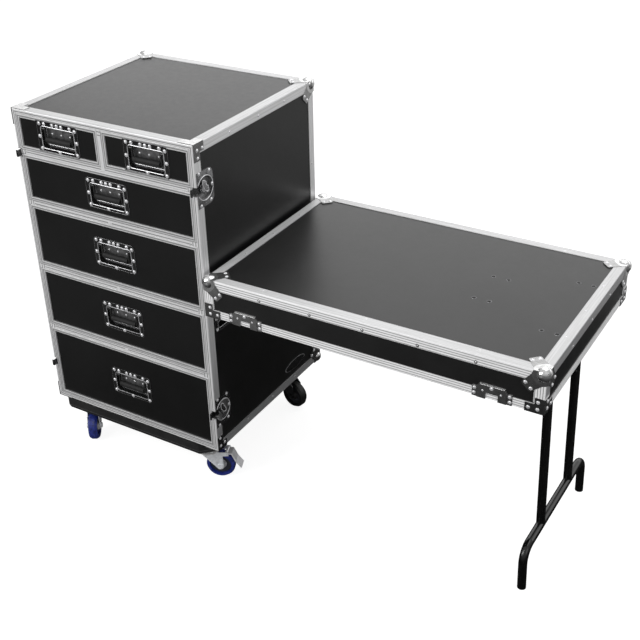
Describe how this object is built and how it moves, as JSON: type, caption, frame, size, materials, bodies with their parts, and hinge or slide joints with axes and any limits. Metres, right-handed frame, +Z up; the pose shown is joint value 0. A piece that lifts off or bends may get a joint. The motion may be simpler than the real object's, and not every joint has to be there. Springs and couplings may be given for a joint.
{
  "type": "drawer flight case",
  "caption": "Upright flight case on casters with metal-edged drawers, recessed latches and handles, its lid hung beside it as a table on fold-out legs.",
  "frame": {"origin": "on the floor, below the middle of the bounding box", "axes": "+X from the case towards the table's legs, -Y the way the drawers open, +Z up"},
  "size_m": [1.8093, 0.7186, 1.2505],
  "materials": {
    "case_laminate": "black textured laminate on plywood",
    "table_laminate": "black laminate on plywood, faintly textured",
    "drawer_laminate": "black laminate on plywood",
    "edging_aluminium": "satin with extrusion lines",
    "lid_aluminium": "satin with extrusion lines",
    "trim_aluminium": "satin with extrusion lines",
    "corner_steel": "bright zinc plating",
    "latch_steel": "bright zinc plating",
    "handle_black": "glossy black coating, pressed steel",
    "side_dish_black": "pressed steel, black coating",
    "bail_rubber": "rubber grip on a steel bail",
    "runner_steel": "zinc-plated steel",
    "board_black": "black textured coating",
    "fork_zinc": "bluish zinc plating",
    "wheel_blue": "blue tread on a grey hub",
    "pedal_grey": "zinc plating",
    "leg_black": "semi-gloss black powder coat",
    "brace_black": "semi-gloss black powder coat"
  },
  "bodies": {
    "case": {"case_panels": "case_laminate", "case_edging": "edging_aluminium", "case_hardware": "corner_steel", "case_dishes": "side_dish_black", "caster_board": "board_black", "drawer_runners": "runner_steel"},
    "drawer_1": {"drawer_1_box": "drawer_laminate", "drawer_1_trim": "trim_aluminium", "drawer_1_dish": "handle_black"},
    "bail_1": {"drawer_1_bail": "bail_rubber"},
    "drawer_2": {"drawer_2_box": "drawer_laminate", "drawer_2_trim": "trim_aluminium", "drawer_2_dish": "handle_black"},
    "bail_2": {"drawer_2_bail": "bail_rubber"},
    "drawer_3": {"drawer_3_box": "drawer_laminate", "drawer_3_trim": "trim_aluminium", "drawer_3_dish": "handle_black"},
    "bail_3": {"drawer_3_bail": "bail_rubber"},
    "drawer_4": {"drawer_4_box": "drawer_laminate", "drawer_4_trim": "trim_aluminium", "drawer_4_dish": "handle_black"},
    "bail_4": {"drawer_4_bail": "bail_rubber"},
    "drawer_5": {"drawer_5_box": "drawer_laminate", "drawer_5_trim": "trim_aluminium", "drawer_5_dish": "handle_black"},
    "bail_5": {"drawer_5_bail": "bail_rubber"},
    "drawer_6": {"drawer_6_box": "drawer_laminate", "drawer_6_trim": "trim_aluminium", "drawer_6_dish": "handle_black"},
    "bail_6": {"drawer_6_bail": "bail_rubber"},
    "side_bail_right": {"side_bail_right": "bail_rubber"},
    "side_bail_left": {"side_bail_left": "bail_rubber"},
    "latch_lr_rotor": {"latch_lr_rotor": "latch_steel"},
    "latch_lr_wing": {"latch_lr_wing": "latch_steel"},
    "latch_lr_hook": {"latch_lr_hook": "latch_steel"},
    "latch_ll_rotor": {"latch_ll_rotor": "latch_steel"},
    "latch_ll_wing": {"latch_ll_wing": "latch_steel"},
    "latch_ll_hook": {"latch_ll_hook": "latch_steel"},
    "latch_ur_rotor": {"latch_ur_rotor": "latch_steel"},
    "latch_ur_wing": {"latch_ur_wing": "latch_steel"},
    "latch_ur_hook": {"latch_ur_hook": "latch_steel"},
    "latch_ul_rotor": {"latch_ul_rotor": "latch_steel"},
    "latch_ul_wing": {"latch_ul_wing": "latch_steel"},
    "latch_ul_hook": {"latch_ul_hook": "latch_steel"},
    "caster_fl": {"caster_fl_fork": "fork_zinc"},
    "caster_fl_roller": {"caster_fl_wheel": "wheel_blue"},
    "caster_fr": {"caster_fr_fork": "fork_zinc"},
    "caster_fr_roller": {"caster_fr_wheel": "wheel_blue"},
    "pedal_fr": {"brake_pedal_fr": "pedal_grey"},
    "caster_rl": {"caster_rl_fork": "fork_zinc"},
    "caster_rl_roller": {"caster_rl_wheel": "wheel_blue"},
    "pedal_rl": {"brake_pedal_rl": "pedal_grey"},
    "caster_rr": {"caster_rr_fork": "fork_zinc"},
    "caster_rr_roller": {"caster_rr_wheel": "wheel_blue"},
    "table": {"lid_panels": "table_laminate", "lid_edging": "lid_aluminium", "lid_hardware": "corner_steel"},
    "legs": {"leg_frame": "leg_black"},
    "brace_top_link": {"brace_upper": "brace_black"},
    "brace_foot_link": {"brace_lower": "brace_black"}
  },
  "joints": [
    {"name": "drawer_1_slide", "type": "slide", "parent": "case", "child": "drawer_1", "axis": [0, -1, 0], "range_m": [0, 0.4]},
    {"name": "bail_1_swing", "type": "hinge", "parent": "drawer_1", "child": "bail_1", "pos_m": [-0.71562, -0.323, 1.19025], "axis": [-1, 0, 0], "range_deg": [0, 90], "stiffness_Nm_per_rad": 0.05, "springref_deg": -20.05},
    {"name": "drawer_2_slide", "type": "slide", "parent": "case", "child": "drawer_2", "axis": [0, -1, 0], "range_m": [0, 0.4]},
    {"name": "bail_2_swing", "type": "hinge", "parent": "drawer_2", "child": "bail_2", "pos_m": [-0.37238, -0.323, 1.19025], "axis": [-1, 0, 0], "range_deg": [0, 90], "stiffness_Nm_per_rad": 0.05, "springref_deg": -20.05},
    {"name": "drawer_3_slide", "type": "slide", "parent": "case", "child": "drawer_3", "axis": [0, -1, 0], "range_m": [0, 0.4]},
    {"name": "bail_3_swing", "type": "hinge", "parent": "drawer_3", "child": "bail_3", "pos_m": [-0.544, -0.323, 1.03575], "axis": [-1, 0, 0], "range_deg": [0, 90], "stiffness_Nm_per_rad": 0.05, "springref_deg": -20.05},
    {"name": "drawer_4_slide", "type": "slide", "parent": "case", "child": "drawer_4", "axis": [0, -1, 0], "range_m": [0, 0.4]},
    {"name": "bail_4_swing", "type": "hinge", "parent": "drawer_4", "child": "bail_4", "pos_m": [-0.544, -0.323, 0.8317], "axis": [-1, 0, 0], "range_deg": [0, 90], "stiffness_Nm_per_rad": 0.05, "springref_deg": -20.05},
    {"name": "drawer_5_slide", "type": "slide", "parent": "case", "child": "drawer_5", "axis": [0, -1, 0], "range_m": [0, 0.4]},
    {"name": "bail_5_swing", "type": "hinge", "parent": "drawer_5", "child": "bail_5", "pos_m": [-0.544, -0.323, 0.5986], "axis": [-1, 0, 0], "range_deg": [0, 90], "stiffness_Nm_per_rad": 0.05, "springref_deg": -20.05},
    {"name": "drawer_6_slide", "type": "slide", "parent": "case", "child": "drawer_6", "axis": [0, -1, 0], "range_m": [0, 0.4]},
    {"name": "bail_6_swing", "type": "hinge", "parent": "drawer_6", "child": "bail_6", "pos_m": [-0.544, -0.323, 0.3384], "axis": [-1, 0, 0], "range_deg": [0, 90], "stiffness_Nm_per_rad": 0.05, "springref_deg": -20.05},
    {"name": "side_bail_right_swing", "type": "hinge", "parent": "case", "child": "side_bail_right", "pos_m": [-0.199, -0.211, 0.676], "axis": [0, -1, 0], "range_deg": [0, 90], "stiffness_Nm_per_rad": 0.05, "springref_deg": -20.05},
    {"name": "side_bail_left_swing", "type": "hinge", "parent": "case", "child": "side_bail_left", "pos_m": [-0.889, -0.211, 0.676], "axis": [0, 1, 0], "range_deg": [0, 90], "stiffness_Nm_per_rad": 0.05, "springref_deg": -20.05},
    {"name": "latch_lr_turn", "type": "hinge", "parent": "case", "child": "latch_lr_rotor", "pos_m": [-0.2038, -0.287, 0.31], "axis": [1, 0, 0], "range_deg": [0, 180]},
    {"name": "latch_lr_flip", "type": "hinge", "parent": "latch_lr_rotor", "child": "latch_lr_wing", "pos_m": [-0.1979, -0.29653, 0.3045], "axis": [0, 0.5, -0.866], "range_deg": [0, 90]},
    {"name": "latch_lr_draw", "type": "slide", "parent": "case", "child": "latch_lr_hook", "axis": [0, 1, 0], "range_m": [0, 0.016]},
    {"name": "latch_ll_turn", "type": "hinge", "parent": "case", "child": "latch_ll_rotor", "pos_m": [-0.8842, -0.287, 0.31], "axis": [-1, 0, 0], "range_deg": [0, 180]},
    {"name": "latch_ll_flip", "type": "hinge", "parent": "latch_ll_rotor", "child": "latch_ll_wing", "pos_m": [-0.8901, -0.29653, 0.3045], "axis": [0, -0.5, 0.866], "range_deg": [0, 90]},
    {"name": "latch_ll_draw", "type": "slide", "parent": "case", "child": "latch_ll_hook", "axis": [0, 1, 0], "range_m": [0, 0.016]},
    {"name": "latch_ur_turn", "type": "hinge", "parent": "case", "child": "latch_ur_rotor", "pos_m": [-0.2038, -0.287, 1.096], "axis": [1, 0, 0], "range_deg": [0, 180]},
    {"name": "latch_ur_flip", "type": "hinge", "parent": "latch_ur_rotor", "child": "latch_ur_wing", "pos_m": [-0.1979, -0.29653, 1.0905], "axis": [0, 0.5, -0.866], "range_deg": [0, 90]},
    {"name": "latch_ur_draw", "type": "slide", "parent": "case", "child": "latch_ur_hook", "axis": [0, 1, 0], "range_m": [0, 0.016]},
    {"name": "latch_ul_turn", "type": "hinge", "parent": "case", "child": "latch_ul_rotor", "pos_m": [-0.8842, -0.287, 1.096], "axis": [-1, 0, 0], "range_deg": [0, 180]},
    {"name": "latch_ul_flip", "type": "hinge", "parent": "latch_ul_rotor", "child": "latch_ul_wing", "pos_m": [-0.8901, -0.29653, 1.0905], "axis": [0, -0.5, 0.866], "range_deg": [0, 90]},
    {"name": "latch_ul_draw", "type": "slide", "parent": "case", "child": "latch_ul_hook", "axis": [0, 1, 0], "range_m": [0, 0.016]},
    {"name": "caster_fl_swivel", "type": "hinge", "parent": "case", "child": "caster_fl", "pos_m": [-0.794, -0.271, 0.1127], "axis": [0, 0, 1], "continuous": true},
    {"name": "caster_fl_roll", "type": "hinge", "parent": "caster_fl", "child": "caster_fl_roller", "pos_m": [-0.77439, -0.30238, 0.05], "axis": [0.848, 0.5299, 0], "continuous": true},
    {"name": "caster_fr_swivel", "type": "hinge", "parent": "case", "child": "caster_fr", "pos_m": [-0.278, -0.271, 0.1127], "axis": [0, 0, 1], "continuous": true},
    {"name": "caster_fr_roll", "type": "hinge", "parent": "caster_fr", "child": "caster_fr_roller", "pos_m": [-0.24407, -0.25625, 0.05], "axis": [-0.3987, 0.9171, 0], "continuous": true},
    {"name": "pedal_fr_press", "type": "hinge", "parent": "caster_fr", "child": "pedal_fr", "pos_m": [-0.22206, -0.24668, 0.103], "axis": [-0.3987, 0.9171, 0], "range_deg": [0, 8]},
    {"name": "caster_rl_swivel", "type": "hinge", "parent": "case", "child": "caster_rl", "pos_m": [-0.794, 0.229, 0.1127], "axis": [0, 0, 1], "continuous": true},
    {"name": "caster_rl_roll", "type": "hinge", "parent": "caster_rl", "child": "caster_rl_roller", "pos_m": [-0.82877, 0.21635, 0.05], "axis": [0.342, -0.9397, 0], "continuous": true},
    {"name": "pedal_rl_press", "type": "hinge", "parent": "caster_rl", "child": "pedal_rl", "pos_m": [-0.85132, 0.20814, 0.103], "axis": [0.342, -0.9397, 0], "range_deg": [0, 8]},
    {"name": "caster_rr_swivel", "type": "hinge", "parent": "case", "child": "caster_rr", "pos_m": [-0.278, 0.229, 0.1127], "axis": [0, 0, 1], "continuous": true},
    {"name": "caster_rr_roll", "type": "hinge", "parent": "caster_rr", "child": "caster_rr_roller", "pos_m": [-0.24168, 0.22194, 0.05], "axis": [0.1908, 0.9816, 0], "continuous": true},
    {"name": "table_lift", "type": "slide", "parent": "case", "child": "table", "axis": [0, 0, 1], "range_m": [0, 0.06]},
    {"name": "leg_fold", "type": "hinge", "parent": "table", "child": "legs", "pos_m": [0.825, 0, 0.793], "axis": [0, 1, 0], "range_deg": [0, 92]},
    {"name": "brace_swing", "type": "hinge", "parent": "table", "child": "brace_top_link", "pos_m": [0.5945, 0, 0.799], "axis": [0, -1, 0], "range_deg": [0, 43.44]},
    {"name": "brace_knee", "type": "hinge", "parent": "brace_top_link", "child": "brace_foot_link", "pos_m": [0.72093, 0, 0.68928], "axis": [0, 1, 0], "range_deg": [0, 169.72]}
  ],
  "couplings": [
    {"joint": "latch_lr_draw", "follows": "latch_lr_turn", "m_per_rad": 0.005093},
    {"joint": "latch_ll_draw", "follows": "latch_ll_turn", "m_per_rad": 0.005093},
    {"joint": "latch_ur_draw", "follows": "latch_ur_turn", "m_per_rad": 0.005093},
    {"joint": "latch_ul_draw", "follows": "latch_ul_turn", "m_per_rad": 0.005093},
    {"joint": "brace_swing", "follows": "leg_fold", "ratio": 0.46678},
    {"joint": "brace_knee", "follows": "leg_fold", "ratio": 1.8393}
  ]
}
